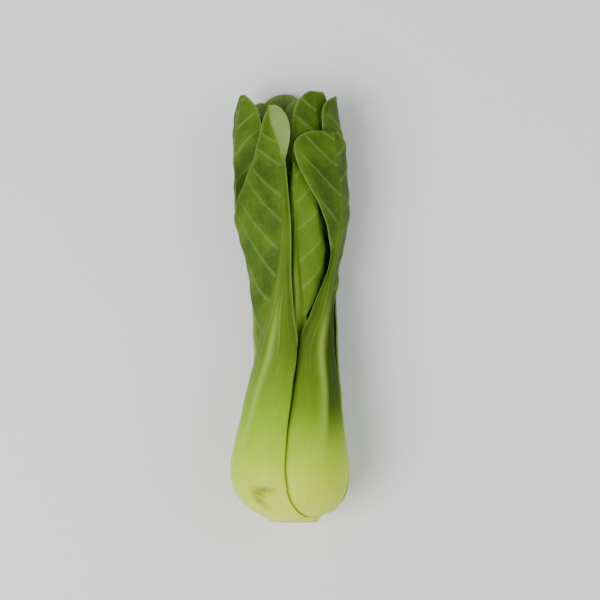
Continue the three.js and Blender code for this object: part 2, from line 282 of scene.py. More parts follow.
class Leaf:
    """One leaf in round coordinates: a thick stalk that runs on as a rib, and a thin blade behind it."""

    def __init__(self, index: int, form: LeafForm, head: HeadForm) -> None:
        """Work out the leaf's own curves.

        Args:
            index: The leaf's place in the spiral, from the outermost in.
            form: The leaf's form.
            head: The head that it belongs to.
        """
        age = index / (len(LEAVES) - 1)
        clasp = mix(*head.clasp, age)
        thick = mix(*head.stalk_thickness, age)
        self.index = index
        self.form = form
        self.head = head
        self.azimuth = math.radians(head.first_azimuth - head.golden_angle * index)
        self.start = head.start_step * index
        self.neck = mix(*head.neck, age)
        self.rib_end = mix(self.neck, form.tip, head.rib_share)
        self.wave = mix(*head.margin_wave, age)
        self.turned = Profile(*form.turn)
        full, first, second = self.start + 18, self.neck + 14, self.neck + 34
        self.stalk_half = Profile(
            (self.start, 0.74 * clasp), (full, clasp), (50, 0.72 * clasp), (self.neck, 0.5 * clasp),
            (first, 0.28 * clasp), (second, 0.14 * clasp), (self.rib_end, 0.05 * clasp),
        )
        self.stalk_thick = Profile(
            (self.start, 0.52 * thick), (full, thick), (50, 0.78 * thick), (self.neck, 0.54 * thick),
            (first, 0.38 * thick), (second, 0.26 * thick), (self.rib_end, 0.7),
        )
        self.stalk_edge = Profile((self.start, 1), (self.neck, 0.8), (second, 0.6))
        self.proud = Profile(
            (self.start, 0), (full, 0.05 * clasp), (self.neck, 0.11 * clasp), (second, 0.05 * clasp),
            (self.rib_end, 0.02 * clasp),
        )
        self.sunk = Profile(
            (self.neck, 0.4), (self.neck + 25, 0.66), (self.rib_end, 0.22), (form.tip, 0.1),
        )

    def middle(self, s: Number) -> Number:
        """The angle of the leaf's middle line, in radians."""
        return self.azimuth + np.radians(self.turned(s))

    def opened(self, s: Number) -> Number:
        """0 in the bulb, where the leaves press on each other, and 1 in the blades, where they part."""
        return smoothstep(s, 36, self.neck + 22)

    def rolling(self, s: Number) -> Number:
        """The radius that turns an angle into a width along the leaf."""
        mean = (self.head.half_width(s) + self.head.half_height(s)) / 2
        return np.maximum(6, mix(1, self.form.reach, self.opened(s)) * mean)

    def side_at(self, theta: Array, s: Array) -> Array:
        """The signed width along the leaf, from its middle line, at which a direction lies."""
        angle = theta - self.middle(s)
        return np.arctan2(np.sin(angle), np.cos(angle)) * self.rolling(s)

    def along(self, s: Number) -> Number:
        """0 at the blade's foot and 1 at its tip."""
        return np.clip((s - self.neck) / (self.form.tip - self.neck), 0, 1)

    def _half(self, s: Array, half: BladeHalf) -> Array:
        """The half-width of one half of the blade."""
        x = self.along(s)
        below = np.sin(math.pi / 2 * np.minimum(x / half.widest, 1)) ** half.foot
        past = np.maximum(0, (x - half.widest) / (1 - half.widest))
        above = np.maximum(0, 1 - past**2) ** half.point
        return half.half * np.where(x < half.widest, below, above)

    def blade_half(self, s: Array, side: Array) -> Array:
        """The blade's half-width on the side that a signed width lies on."""
        return np.where(side < 0, self._half(s, self.form.left), self._half(s, self.form.right))

    def half_width(self, s: Array, side: Array) -> Array:
        """The whole leaf's half-width, with the narrow wing that starts the blade."""
        stalk = np.where(s <= self.rib_end, self.stalk_half(s), 0)
        wing = self.head.foot_wing * smoothstep(s, self.neck - 6, self.neck)
        return np.maximum(stalk + wing, self.blade_half(s, side))

    def stalk_depth(self, distance: Array, s: Array) -> Array:
        """The stalk's thickness at a distance from its middle line."""
        across = np.minimum(1, distance / self.stalk_half(s))
        return mix(self.stalk_thick(s), self.stalk_edge(s), across * across)

    def depth(self, distance: Array, s: Array) -> Array:
        """How deep the whole leaf is under its outer surface."""
        room = self.head.rib_gap + self.head.blade_thickness
        return self.stalk_depth(distance, s) + room * smoothstep(s, self.neck - 22, self.neck - 8)

    def free_radius(self, theta: Array, s: Array, side: Array) -> Array:
        """The outer radius that the leaf would take with nothing outside it."""
        across = np.minimum(1, np.abs(side) / np.maximum(self.half_width(s, side), 1))
        rib = np.maximum(0, 1 - (side / self.stalk_half(s)) ** 2)
        in_blade = smoothstep(s, self.neck, self.neck + 35)
        out = np.where(side < 0, self.form.left.out, self.form.right.out)
        phase = self.index * 2.1
        ripple = self.wave * np.sin(s / self.head.wave_length + phase + np.where(side < 0, 0, 1.9))
        return (
            mix(1, self.form.reach, self.opened(s)) * self.head.bunch_radius(theta, s)
            + self.proud(s) * rib
            + in_blade * across * across * (out + ripple)
            + self.form.bend * self.along(s) ** 4
        )


class Bunch:
    """All the leaves, each kept inside the ones that are older than it."""

    def __init__(self, head: HeadForm) -> None:
        """Lay out the leaves.

        Args:
            head: The head's form.
        """
        self.head = head
        self.leaves = [Leaf(index, form, head) for index, form in enumerate(LEAVES)]
        self.origin = StemForm().origin(self)

    def place(self, radius: Array, theta: Array, s: Array) -> Array:
        """Turn round coordinates into points.

        Args:
            radius: The radii from the centre line.
            theta: The angles about it, in radians.
            s: The stations along it.

        Returns:
            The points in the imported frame, in metres, with one more axis than the radii.
        """
        x = self.head.centre_x(s) + radius * np.sin(theta)
        z = self.head.centre_z(s) + radius * np.cos(theta)
        return np.stack([x, s, z], axis=-1) / 1000 + self.origin

    def outer_radius(self, leaf: Leaf, theta: Array, s: Array) -> Array:
        """The outer radius of a leaf, kept inside every leaf that is older.

        Args:
            leaf: The leaf.
            theta: The angles about the centre line.
            s: The stations.

        Returns:
            The radii there.
        """
        head = self.head
        limit = np.full(np.shape(theta), np.inf)
        for elder in self.leaves[: leaf.index + 1]:
            along = np.minimum(s, elder.form.tip)
            side = elder.side_at(theta, along)
            width = elder.half_width(along, side)
            inside = side if elder is leaf else np.clip(side, -width, width)
            free = elder.free_radius(theta, along, inside)
            outer = np.minimum(head.floor_radius(theta, s), head.soft_min(free, limit))
            if elder is leaf:
                break
            slant = (elder.half_width(along - 0.5, side) - elder.half_width(along + 0.5, side)) / 2
            past = np.maximum(0, (np.abs(side) - width) / np.hypot(1, slant))
            beyond = np.where(s > elder.form.tip, np.hypot(side, s - elder.form.tip), past)
            inner = outer - elder.depth(np.abs(inside), along)
            limit = np.minimum(limit, inner - head.leaf_gap + head.edge_relief * beyond)
        return outer

    def room(self, theta: Array, s: Array) -> Array:
        """The radius that all the leaves leave free about the centre line.

        Args:
            theta: The angles about the centre line.
            s: The stations.

        Returns:
            The radii there, endless where no leaf lies.
        """
        free = np.full(np.shape(theta), np.inf)
        for leaf in self.leaves:
            side = leaf.side_at(theta, s)
            inner = self.outer_radius(leaf, theta, s) - leaf.depth(np.abs(side), s)
            grown = (s >= leaf.start) & (s <= leaf.form.tip)
            lies = grown & (np.abs(side) <= leaf.half_width(s, side) + 1)
            free = np.where(lies, np.minimum(free, inner), free)
        return free


@dataclass(frozen=True)
class StemForm:
    """The stem's sides, which flare from the cut face out to the stalks. The solid stem has these values.

    The radius is a share of the bunch's up to the station called full, and closes past it. It stays a gap
    inside the stalks that have grown there or within a lead of it, and under_skin below their outer surface.
    Only the first leaves count, as many as it is held by. Rows, sides and bunching are the solid's own mesh.
    """

    share: float = 0.76
    full: float = 5.0
    gap: float = 0.9
    lead: float = 1.3
    readings: int = 5
    rows: int = 16
    sides: int = 40
    bunching: float = 1.3
    under_skin: float = 0.0
    held_by: int = len(LEAVES)

    def radius(self, bunch: Bunch, theta: Array, s: Array) -> Array:
        """The stem's radius: a share of the bunch's, kept inside the stalks that have started.

        Args:
            bunch: The leaves.
            theta: The angles about the centre line.
            s: The stations.

        Returns:
            The radii there.
        """
        head = bunch.head
        past = np.maximum(0, s - self.full) / (head.stem_height - self.full)
        closed = np.sqrt(np.maximum(0, 1 - past**2))
        radius = self.share * head.bunch_radius(theta, np.minimum(s, self.full)) * closed
        for leaf in bunch.leaves[: self.held_by]:
            for step in np.linspace(-1, 1, self.readings):
                at = s + step * self.lead
                side = np.abs(leaf.side_at(theta, at))
                half = leaf.stalk_half(at)
                foot = leaf.start + head.base_rise * np.minimum(1, side / half) ** 2
                grown = (side <= half + max(0, self.gap)) & (at >= foot)
                outer = bunch.outer_radius(leaf, theta, at)
                inner = outer - leaf.stalk_depth(side, at)
                inner = np.maximum(inner, head.heart_radius_at(at) + head.heart_gap)
                room = np.minimum(inner - self.gap, outer - self.under_skin)
                room = np.maximum(room, head.heart_radius_at(s))
                radius = np.where(grown, np.minimum(radius, room), radius)
        return radius

    def origin(self, bunch: Bunch) -> Array:
        """Find the head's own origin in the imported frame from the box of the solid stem.

        Args:
            bunch: The leaves.

        Returns:
            The origin, in metres.
        """
        head = bunch.head
        s = head.stem_height * (np.arange(self.rows)[:, None] / self.rows) ** self.bunching
        s, theta = np.broadcast_arrays(s, 2 * math.pi * np.arange(self.sides)[None, :] / self.sides)
        radius = self.radius(bunch, theta, s)
        x = (head.centre_x(s) + radius * np.sin(theta)).max()
        z = (head.centre_z(s) + radius * np.cos(theta)).max()
        low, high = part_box("stem")
        return np.array([high.x - x / 1000, low.y, high.z - z / 1000])


@dataclass(frozen=True)
class VeinPattern:
    """The side veins of a blade, which leave the rib in turn on either side and curve up to the margin."""

    first: float = 6.0
    spacing: float = 11.5
    count: int = 12
    rise: float = 0.72
    curve: float = 0.018
    jitter: float = 1.3
    width: float = 0.55
    quilt: float = 2.4
    rise_jitter: float = 0.15
    thinning: float = 18.0
    margin_fade: Pair = (0.72, 1.0)

    def measure(self, leaf: Leaf, s: Array, side: Array) -> tuple[Array, Array]:
        """How strongly the side veins mark each point of a blade.

        Args:
            leaf: The leaf.
            s: The stations.
            side: The signed widths from the middle line.

        Returns:
            The veins themselves and the broad swell that carries them, both from 0 to 1.
        """
        rng = np.random.default_rng(40 + leaf.index)
        out = np.maximum(0, np.abs(side) - leaf.stalk_half(s))
        width = np.maximum(leaf.blade_half(s, side), 1)
        fade = 1 - smoothstep(np.abs(side) / width, *self.margin_fade)
        fine = np.zeros_like(s)
        broad = np.zeros_like(s)
        for hand, shift in ((-1, 0.0), (1, 0.5)):
            mine = side * hand > 0
            for k in range(self.count):
                start = leaf.neck + self.first + self.spacing * (k + shift) + rng.uniform(-1, 1) * self.jitter
                rise = self.rise * (1 + self.rise_jitter * rng.uniform(-1, 1))
                slope = rise + 2 * self.curve * out
                apart = np.abs(s - start - rise * out - self.curve * out**2) / np.hypot(1, slope)
                thin = self.width * mix(1, 0.45, np.minimum(1, out / self.thinning))
                fine = np.where(mine, np.maximum(fine, np.exp(-((apart / thin) ** 2))), fine)
                broad = np.where(mine, np.maximum(broad, np.exp(-((apart / self.quilt) ** 2))), broad)
        return fine * fade, broad * mix(0.4, 1, fade)


@dataclass(frozen=True)
class Wrinkle:
    """A gentle unevenness made of a few waves that run in set directions."""

    seed: int
    waves: int = 5
    shortest: float = 9.0
    longest: float = 28.0
    stretch: float = 1.6

    def height(self, s: Array, side: Array) -> Array:
        """The unevenness at each point.

        Args:
            s: The stations.
            side: The signed widths.

        Returns:
            Heights from about -1 to 1.
        """
        rng = np.random.default_rng(self.seed)
        total = np.zeros_like(s)
        for _ in range(self.waves):
            length = rng.uniform(self.shortest, self.longest)
            way = rng.uniform(0, math.pi)
            phase = rng.uniform(0, 2 * math.pi)
            along = s * math.cos(way) + self.stretch * side * math.sin(way)
            total = total + np.sin(2 * math.pi * along / length + phase)
        return total / math.sqrt(2 * self.waves)


def add_object(name: str, data: bpy.types.ID) -> bpy.types.Object:
    """Add an object that holds the given data to the scene."""
    made = bpy.data.objects.new(name, data)
    bpy.context.scene.collection.objects.link(made)
    return made


@dataclass
class Skin:
    """The closed mesh of one piece, dressed and tied to the frame.

    Its marks are values that the mesh carries at its points for its finish to read.
    """

    name: str
    slot: str
    material: bpy.types.Material

    def make(self, points: Array, faces: list[list[int]], marks: dict[str, Array]) -> bpy.types.Object:
        """Make the object.

        Args:
            points: The mesh's points.
            faces: The points of each face, by number.
            marks: The values of each mark, one for each point.

        Returns:
            The new object, in the scene.
        """
        mesh = bpy.data.meshes.new(self.name)
        mesh.from_pydata(points.tolist(), [], faces)
        mesh.shade_smooth()
        for mark, values in marks.items():
            attribute = mesh.attributes.new(mark, "FLOAT", "POINT")
            attribute.data.foreach_set("value", values.astype(np.float32))
        mesh.materials.append(self.material)
        made = add_object(self.name, mesh)
        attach(made, "root")
        log.info("%s: %d faces", made.name, len(mesh.polygons))
        return made

    def between(self, outer: Array, inner: Array, marks: Marks) -> bpy.types.Object:
        """Close an outer and an inner grid of points along their border, which they share.

        Args:
            outer: The outer points, in rows and columns.
            inner: The inner points.
            marks: The values of each mark, for both grids or as a pair for the outer and the inner one.

        Returns:
            The new object.
        """
        rows, columns = grid = outer.shape[:2]
        border = np.ones(grid, bool)
        border[1:-1, 1:-1] = False
        top = np.arange(rows * columns).reshape(grid)
        bottom = top.copy()
        hidden = (rows - 2, columns - 2)
        bottom[1:-1, 1:-1] = rows * columns + np.arange(math.prod(hidden)).reshape(hidden)
        upper = np.where(border[..., None], (outer + inner) / 2, outer)
        points = np.concatenate([upper.reshape(-1, 3), inner[1:-1, 1:-1].reshape(-1, 3)])
        over = np.stack([top[:-1, :-1], top[:-1, 1:], top[1:, 1:], top[1:, :-1]], axis=-1)
        under = np.stack([bottom[:-1, :-1], bottom[1:, :-1], bottom[1:, 1:], bottom[:-1, 1:]], axis=-1)
        faces = np.concatenate([over.reshape(-1, 4), under.reshape(-1, 4)])
        whole = {}
        for mark, value in marks.items():
            pair = value if isinstance(value, tuple) else (value, value)
            first, second = (np.broadcast_to(half, grid) for half in pair)
            whole[mark] = np.append(first, second[1:-1, 1:-1])
        return self.make(points, faces.tolist(), whole)

    def around(self, points: Array, marks: dict[str, Array]) -> bpy.types.Object:
        """Close rings of points about the head's centre line at both ends.

        Args:
            points: The points, ring by ring.
            marks: The values of each mark.

        Returns:
            The new object.
        """
        rings, segments = grid = points.shape[:2]
        count = rings * segments
        ends = np.stack([points[0].mean(axis=0), points[-1].mean(axis=0)])
        index = np.arange(count).reshape(grid)
        following = np.roll(index, -1, axis=1)
        sides = np.stack([index[:-1], following[:-1], following[1:], index[1:]], axis=-1)
        faces = sides.reshape(-1, 4).tolist()
        faces += [[count, int(b), int(a)] for a, b in zip(index[0], following[0])]
        faces += [[count + 1, int(a), int(b)] for a, b in zip(index[-1], following[-1])]
        whole = {}
        for mark, value in marks.items():
            values = np.broadcast_to(value, grid)
            whole[mark] = np.append(values, [values[0].mean(), values[-1].mean()])
        return self.make(np.concatenate([points.reshape(-1, 3), ends]), faces, whole)


@dataclass
class LeafPieces:
    """Builds and dresses the stalk and the blade of one leaf."""

    bunch: Bunch
    leaf: Leaf
    detail: Detail
    material: bpy.types.Material
    veins: VeinPattern = VeinPattern()
    kept_in: float = 0.36
    uneven: float = 0.16
    margin_columns: tuple[float, ...] = (0, 0.06, 0.18, 0.38)
    margin_inset: float = 0.7
    narrow: float = 1.2
    foot_rows: tuple[float, ...] = (0, 0.08, 0.3, 0.7)
    first_row: float = 1.2
    row_spread: float = 1.15
    ridges: float = 3.2
    ridge_height: float = 0.05
    keel: float = 0.42
    keel_width: float = 2.4
    crest_rise: Pair = (18, 40)
    crest_fall: Pair = (90, 120)
    behind_rib: float = 0.4
    edge_sink: float = 0.23
    least_stalk: float = 0.2
    stalk_round: float = 0.5
    foot_round: float = 2.6
    front_foot_round: float = 1.0
    foot_sink: float = 0.8
    fibres: float = 14.0
    # where the painted highlight along the stalk's ridge starts
    keel_highlight_rise: Pair = (22, 44)
    # where the painted shade on the right front stalk starts
    painted_shade_rise: Pair = (26, 52)
    blade_start: float = 5.0
    blade_thickness: float = 0.55
    margin_thickness: float = 0.3
    blade_round: float = 0.3
    steepest_edge: float = 3.0
    vein_height: float = 0.14
    quilt_height: float = 0.34
    quilt_level: float = 0.7
    ruffle_height: float = 0.35
    young_light: float = 0.6
    fold_rise: Pair = (148, 158)
    crease_rise: Pair = (146, 154)
    shade_fall: Pair = (140, 158)
    bruise_spots: tuple[tuple[float, ...], ...] = (
        (14.0, 10.0, 4.5, 1.4, 1.0), (12.6, 7.0, 3.5, 1.8, 0.9), (9.6, 4.6, 2.4, 3.2, 0.8),
    )

    def _is(self, *places: Front) -> bool:
        """Whether the leaf is one of the given front ones."""
        return self.leaf.index in [place.value for place in places]

    def _columns(self, width: Array, count: int) -> Array:
        """Signed widths from margin to margin, with close columns at the margins to round them.

        Args:
            width: The half-width of each row on the left and on the right, as two columns.
            count: The number of even columns between the close ones.

        Returns:
            The signed widths, a row for each row.
        """
        close = np.array(self.margin_columns)
        squeeze = np.minimum(1, width / self.narrow)
        left, right = (half[:, None] for half in width.T)
        left_squeeze, right_squeeze = (half[:, None] for half in squeeze.T)
        first, last = -left + self.margin_inset * left_squeeze, right - self.margin_inset * right_squeeze
        middle = mix(first, last, np.linspace(0, 1, count)[None, :])
        ends = (-left + close * left_squeeze, (right - close * right_squeeze)[:, ::-1])
        return np.concatenate([ends[0], middle, ends[1]], axis=1)

    def _surface(self, s: Array, side: Array) -> tuple[Array, Array]:
        """The angles and the outer radii of the leaf's own surface."""
        theta = self.leaf.middle(s) + side / self.leaf.rolling(s)
        return theta, self.bunch.outer_radius(self.leaf, theta, s)

    def _grounded(self, radius: Array, theta: Array, s: Array) -> Array:
        """The radii, kept above the surface that the head lies on."""
        return np.minimum(radius, self.bunch.head.floor_radius(theta, s))

    def _joined(self, s: Array) -> Array:
        """0 where the stalk is on its own and 1 where it is the rib of a blade."""
        return smoothstep(s, self.leaf.neck - 10, self.leaf.neck + 8)

    def _make(
        self, part: str, slot: str, body: tuple[Array, Array], at: tuple[Array, Array, Array], marks: Marks
    ) -> bpy.types.Object:
        """Make one of the leaf's two pieces, which stands for its node.

        Args:
            part: Which of the two it is, as in its node's name.
            slot: The record's material slot.
            body: The radii of its middle and half its thickness.
            at: The angles, the stations and the signed widths of its points.
            marks: The marks that the other piece doesn't share.

        Returns:
            The piece.
        """
        middle, half = body
        theta, s, side = at
        name = f"leaf_{self.leaf.index + 1:02d}_{part}"
        outer, inner = (self.bunch.place(radius, theta, s) for radius in (middle + half, middle - half))
        shared = {"station": s, "width": side, "youth": self.leaf.form.light}
        made = Skin(f"{name}_skin", slot, self.material).between(outer, inner, shared | marks)
        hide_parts(name)
        return made

    def _stalk_rows(self, count: int) -> Array:
        """The stations of the stalk's rows, close together at its foot to round it."""
        start = self.leaf.start
        spread = np.linspace(0, 1, count - len(self.foot_rows)) ** self.row_spread
        even = mix(start + self.first_row, self.leaf.rib_end, spread)
        return np.concatenate([start + np.array(self.foot_rows), even])

    def _stalk_relief(self, s: Array, side: Array, across: Array) -> Array:
        """The height of the stalk's lengthwise ridges, its unevenness and the crest along its middle."""
        leaf = self.leaf
        ridges = np.cos(2 * math.pi * (self.ridges * side / leaf.stalk_half(s)) + leaf.index)
        ridges = ridges * (1 - 0.5 * across)
        bulb = smoothstep(s, leaf.start + 4, leaf.start + 26) * (1 - smoothstep(s, leaf.neck, leaf.neck + 30))
        swell = Wrinkle(7 + leaf.index).height(s, side) * (1 - smoothstep(s, leaf.neck, leaf.neck + 20))
        crest = self.keel * np.exp(-((side / self.keel_width) ** 2))
        crest = crest * smoothstep(s, *self.crest_rise) * (1 - smoothstep(s, *self.crest_fall))
        return self.ridge_height * ridges * bulb + self.uneven * swell + crest

    def stalk(self) -> bpy.types.Object:
        """Build the stalk and the rib that it runs on as.

        Returns:
            The stalk.
        """
        leaf, head = self.leaf, self.bunch.head
        (rows, columns), _ = self.detail.value
        station = self._stalk_rows(rows)
        half = leaf.stalk_half(station)
        side = self._columns(np.stack([half, half], axis=1), columns)
        row = np.repeat(station[:, None], side.shape[1], axis=1)
        across = np.clip(np.abs(side) / leaf.stalk_half(row), 0, 1)
        s = row + head.base_rise * across**2 * np.exp((leaf.start - row) / head.base_rise)
        theta, radius = self._surface(s, side)
        joined = self._joined(s)
        outer = radius - self.kept_in + self._stalk_relief(s, side, across) * (1 - across**6)
        outer = self._grounded(outer, theta, s) - (leaf.sunk(s) - self.edge_sink) * joined * across**3
        behind = radius - leaf.sunk(s) - self.behind_rib
        alone = radius - leaf.stalk_depth(np.abs(side), s)
        inner = mix(alone, mix(radius - leaf.stalk_thick(s), behind, across**2), joined)
        inner = np.maximum(inner, head.heart_radius_at(s) + head.heart_gap)
        inner = np.minimum(inner, outer - self.least_stalk)
        bare = self._is(Front.LEFT, Front.RIGHT)
        foot = self._round(row - leaf.start, self.front_foot_round if bare else self.foot_round)
        sink = 0.0 if self._is(Front.LEFT) else self.foot_sink
        edge = np.abs(leaf.stalk_half(row) - np.abs(side))
        body = (outer - inner) / 2 * np.minimum(self._round(edge, self.stalk_round), foot)
        middle = (outer + inner) / 2 - sink * (outer - inner) / 2 * (1 - foot)
        dried = 1.0 if self._is(Front.LEFT) else 0.3
        marks = {
            "inside": (0, 1),
            "green": mix(self._rib_green(s), self._edge_green(s), smoothstep(across, 0.5, 1.0)),
            "cut": (1 - smoothstep(row - leaf.start, 0.2, 1.5)) * dried,
            "bruise": (self._bruise(s, side), 0),
            # painted highlight along the stalk's middle ridge
            "keel": (self._painted_keel_highlight(s, side), 0),
            "fibre": self.fibres * side / leaf.stalk_half(s),
            # painted shade: the right front stalk's shaded side and the left stalk's shadow on it
            "flank": (self._painted_shade_mask(s, side), 0),
        }
        return self._make("stalk", "stalk", (middle, body), (theta, s, side), marks)

    def blade(self) -> bpy.types.Object:
        """Build the blade.

        Returns:
            The blade.
        """
        leaf = self.leaf
        _, (rows, columns) = self.detail.value
        t = np.linspace(0, 1, rows)
        low, high = leaf.neck - self.blade_start, leaf.form.tip - 0.5
        station = mix(low, high, mix(t, np.sin(t * math.pi / 2), 0.6))
        width = np.stack([self._blade_width(station, hand) for hand in (-1, 1)], axis=1)
        side = self._columns(width, columns)
        s = np.repeat(station[:, None], side.shape[1], axis=1)
        theta, radius = self._surface(s, side)
        fine, broad = self.veins.measure(leaf, s, side)
        from_rib = np.abs(side) - leaf.stalk_half(s)
        own = np.where(side < 0, width[:, :1], width[:, 1:])
        across = np.clip(np.abs(side) / own, 0, 1)
        ruffle = np.sin(s / 2.3 + leaf.index) * np.sin(s / 5.1 + np.sign(side)) * smoothstep(across, 0.6, 1)
        grown = smoothstep(s, leaf.neck + 6, leaf.neck + 30) * np.minimum(1, own / 6)
        relief = self.vein_height * fine + self.quilt_height * (broad - self.quilt_level)
        relief = relief + self.ruffle_height * ruffle * grown
        relief = relief + self.uneven * Wrinkle(60 + leaf.index).height(s, side)
        relief = relief * smoothstep(from_rib, -0.2, 2.5) * grown
        under = leaf.sunk(s) + self.behind_rib * (1 - self._joined(s))
        dip = mix(under, self.kept_in, smoothstep(from_rib, 0, 4))
        outer = self._grounded(radius - dip + relief, theta, s)
        left_slant, right_slant = (np.gradient(half, station)[:, None] for half in width.T)
        slant = np.clip(np.where(side < 0, left_slant, right_slant), -self.steepest_edge, self.steepest_edge)
        edge = (own - np.abs(side)) / np.hypot(1, slant)
        thickness = mix(self.margin_thickness, self.blade_thickness, smoothstep(edge, 0, 4))
        body = thickness / 2 * np.minimum(self._round(edge, self.blade_round), self._round(s - low, 0.5))
        marks = self._blade_marks(s, side, edge) | {"vein": (fine, 0.7 * fine)}
        slot = "young_blade" if leaf.form.light > self.young_light else "blade"
        return self._make("blade", slot, (outer - thickness / 2, body), (theta, s, side), marks)

    def _blade_marks(self, s: Array, side: Array, edge: Array) -> Marks:
        """The blade's marks, apart from its veins.

        Args:
            s: The stations.
            side: The signed widths from the middle line.
            edge: The distances from the margin.

        Returns:
            The marks.
        """
        leaf, front = self.leaf, self._is(Front.LEFT)
        beyond = np.maximum(0, np.abs(side) - leaf.stalk_half(s))
        green = mix(1, self._edge_green(s), np.exp(-beyond / 1.3))
        rib = np.exp(-((side / np.maximum(0.5, 0.7 * leaf.stalk_half(s))) ** 2)) * (1 - leaf.along(s) ** 2)
        margin = np.exp(-edge / 0.35)
        folded = smoothstep(s, *self.fold_rise) * smoothstep(side, 0.3, 1.2) * front
        crease = smoothstep(s, *self.crease_rise) * np.exp(-(((side - 0.7) / 0.4) ** 2)) * front
        # painted shade: the far left leaf's lower blade is darker where the front leaf shades it
        shaded = (1 - smoothstep(s, *self.shade_fall)) * self._is(Front.FAR_LEFT)
        return {
            "inside": (1.4 * folded, 1),
            "green": (green, mix(green, 0.35, rib)),
            "margin": margin,
            "keel": (np.maximum(0.6 * crease, 0.8 * margin * folded), 0),
            "fibre": side,
            # painted shade on the blade: the far left leaf's lower blade, and the right front stalk's shade
            # carried into its blade foot
            "flank": (np.maximum(shaded, self._painted_shade_mask(s, side) * np.exp(-beyond / 2)), 0),
        }

    def _blade_width(self, station: Array, hand: int) -> Array:
        """The half-width of each row of the blade on one side, wide enough to start inside the stalk."""
        leaf = self.leaf
        foot = np.where(station < leaf.rib_end, leaf.stalk_half(station), 0)
        wing = self.bunch.head.foot_wing * smoothstep(station, leaf.neck - 3, leaf.neck + 6)
        started = foot - 0.5 * (1 - smoothstep(station, leaf.neck - self.blade_start, leaf.neck)) + wing
        closing = np.maximum(0.05, leaf.blade_half(station, np.full_like(station, hand)))
        return np.where(station < leaf.rib_end, np.maximum(started, closing), closing)

    def _round(self, distance: Array, radius: float) -> Array:
        """The share of the thickness that is left near an edge, so that it is round."""
        near = 1 - np.clip(distance / radius, 0, 1)
        return np.sqrt(np.maximum(0, 1 - near * near))

    def _rib_green(self, s: Array) -> Array:
        """How green the middle of the stalk and rib is."""
        return 0.12 * smoothstep(s, 40, 80) + 0.5 * smoothstep(s, 85, 150) + 0.3 * smoothstep(s, 145, 172)

    def _edge_green(self, s: Array) -> Array:
        """How green the leaf is where its rib meets its blade."""
        neck = self.leaf.neck
        return mix(self._rib_green(s), 0.8, smoothstep(s, neck - 14, neck + 16))

    def _bruise(self, s: Array, side: Array) -> Array:
        """The faint rubbed spots on the left front stalk's bulb."""
        total = np.zeros_like(s)
        if not self._is(Front.LEFT):
            return total
        for at, across, long_way, short_way, strength in self.bruise_spots:
            spread = ((side - across) / long_way) ** 2 + ((s - at) / short_way) ** 2
            total = np.maximum(total, strength * np.exp(-spread))
        return total

    def _painted_keel_highlight(self, s: Array, side: Array) -> Array:
        """Painted highlight: a paler line along the stalk's middle, above the bulb, where its ridge catches the
        light.
        """
        rise = smoothstep(s, *self.keel_highlight_rise) * (1 - smoothstep(s, self.leaf.neck, self.leaf.neck + 25))
        return rise * np.exp(-((side / 1.3) ** 2))

    def _painted_shade_mask(self, s: Array, side: Array) -> Array:
        """Painted shade on the right front stalk: darker green on its shaded side and painted shadow where the
        left one covers it.
        """
        if not self._is(Front.RIGHT):
            return np.zeros_like(s)
        covered = 1 - smoothstep(side + self.leaf.stalk_half(s), 0.5, 4.0)
        shade = np.maximum(0.4 + 0.6 * smoothstep(side, 0.8, 3.0), 0.75 * covered)
        above = smoothstep(s, self.leaf.neck + 5, self.leaf.neck + 45)
        return shade * smoothstep(s, *self.painted_shade_rise) * (1 - above)


@dataclass
class StemPiece:
    """The short stem that the leaves grow from, with its cut face, grown together with the stalks' feet."""

    bunch: Bunch
    form: StemForm = StemForm(share=0.86, full=7.5, gap=-0.9, lead=0.15, under_skin=0.75, held_by=3)
    segments: int = 180
    face_rings: int = 16
    rim_rings: int = 6
    side_rings: int = 60
    round: float = 0.7
    dish: float = 0.7

    def build(self, material: bpy.types.Material) -> bpy.types.Object:
        """Build the stem in rings, from the middle of its cut face over the rim and up to its hidden top.

        Args:
            material: The stem finish's material.

        Returns:
            The stem.
        """
        angle = np.linspace(0, 2 * math.pi, self.segments, endpoint=False)
        theta = angle[None, :]
        rim = self._radius(theta, np.full_like(theta, self.round))
        share = np.linspace(0.04, 1, self.face_rings)[:, None]
        hollow = self.dish * (1 - share**2) + 0.16 * np.sin(7 * theta + 1) * share * (1 - share)
        turn = np.linspace(0.2, 1, self.rim_rings)[:, None] * math.pi / 2
        height = self.bunch.head.stem_height
        climb = np.linspace(0.01, 0.99, self.side_rings)[:, None] ** 1.2
        side_s = np.broadcast_to(mix(self.round, height, climb), (self.side_rings, self.segments))
        radius = np.concatenate([
            (rim - self.round) * share,
            rim - self.round * (1 - np.sin(turn)),
            self._radius(np.broadcast_to(theta, side_s.shape), side_s),
        ])
        rim_s = np.broadcast_to(self.round * (1 - np.cos(turn)), (self.rim_rings, self.segments))
        s = np.concatenate([hollow, rim_s, side_s])
        face = np.concatenate([np.ones(self.face_rings), 1 - turn[:, 0] / 1.8, np.zeros(self.side_rings)])
        ring = np.concatenate([share[:, 0], np.ones(self.rim_rings + self.side_rings)])
        marks = {"cut": face[:, None], "ring": ring[:, None], "turned": theta / (2 * math.pi), "station": s}
        made = Skin("stem_skin", "stem", material).around(self.bunch.place(radius, theta, s), marks)
        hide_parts("stem")
        return made

    def _radius(self, theta: Array, s: Array) -> Array:
        """The stem's radius with a slight unevenness."""
        uneven = 1 + 0.012 * np.sin(3 * theta + 0.6) + 0.008 * np.sin(7 * theta + 2)
        return self.form.radius(self.bunch, theta, s) * uneven


